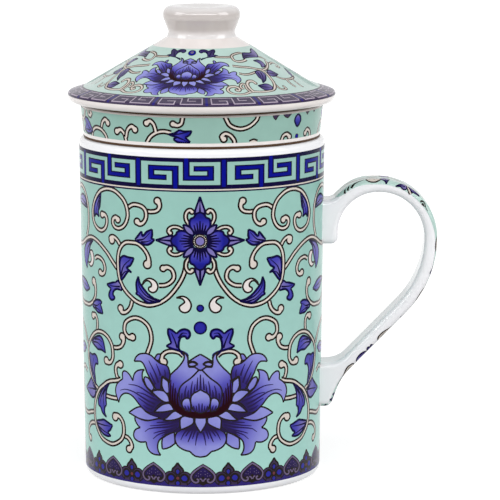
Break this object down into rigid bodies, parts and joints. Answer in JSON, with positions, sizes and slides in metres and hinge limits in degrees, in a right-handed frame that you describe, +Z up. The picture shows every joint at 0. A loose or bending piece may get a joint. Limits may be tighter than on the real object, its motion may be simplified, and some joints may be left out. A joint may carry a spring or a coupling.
{
  "type": "lidded tea cup",
  "caption": "Tall porcelain tea cup with a strap handle, a lift-out perforated infuser that stands on the rim, and a lift-off domed lid with a knob, all under a printed glaze.",
  "frame": {"origin": "centre of the foot ring, on the surface that the cup stands on", "axes": "+Z up along the cup's axis, +X towards the handle"},
  "size_m": [0.1145, 0.0828, 0.1459],
  "materials": {
    "white_glaze": "white porcelain under a clear gloss glaze",
    "printed_glaze": "white porcelain with a mint, blue and lilac print under a clear gloss glaze"
  },
  "bodies": {
    "cup": {"cup_body": "printed_glaze", "handle": "white_glaze"},
    "infuser": {"infuser": "white_glaze"},
    "lid": {"lid_cover": "printed_glaze", "lid_knob": "white_glaze"}
  },
  "joints": [
    {"name": "infuser_lift", "type": "slide", "parent": "cup", "child": "infuser", "axis": [0, 0, 1], "range_m": [0, 0.08]},
    {"name": "lid_lift", "type": "slide", "parent": "infuser", "child": "lid", "axis": [0, 0, 1], "range_m": [0, 0.06]}
  ]
}
